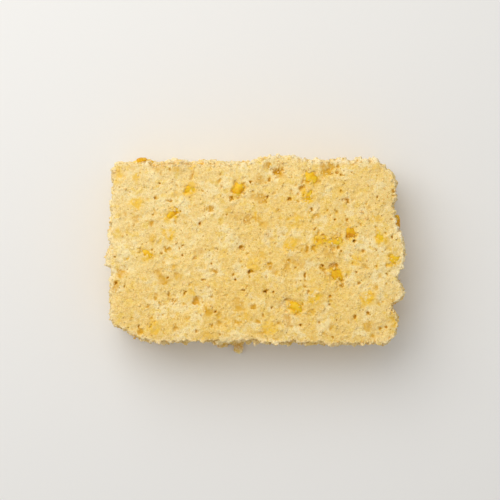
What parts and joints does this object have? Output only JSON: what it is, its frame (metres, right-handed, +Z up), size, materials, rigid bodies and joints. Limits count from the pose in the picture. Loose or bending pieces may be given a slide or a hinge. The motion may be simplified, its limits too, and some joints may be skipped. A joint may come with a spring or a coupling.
{
  "type": "cornbread square",
  "caption": "Rectangular piece of moist corn bread with a rough open crumb, uneven cut edges, and sweetcorn kernels showing in it.",
  "frame": {"origin": "middle of the flat underside's outline box, on the surface that the bread rests on", "axes": "+X along the longer side, +Y along the shorter side, +Z up through the thickness"},
  "size_m": [0.1374, 0.0894, 0.0319],
  "materials": {
    "crumb": "matte"
  },
  "bodies": {
    "root": {"cornbread": "crumb"}
  },
  "joints": []
}
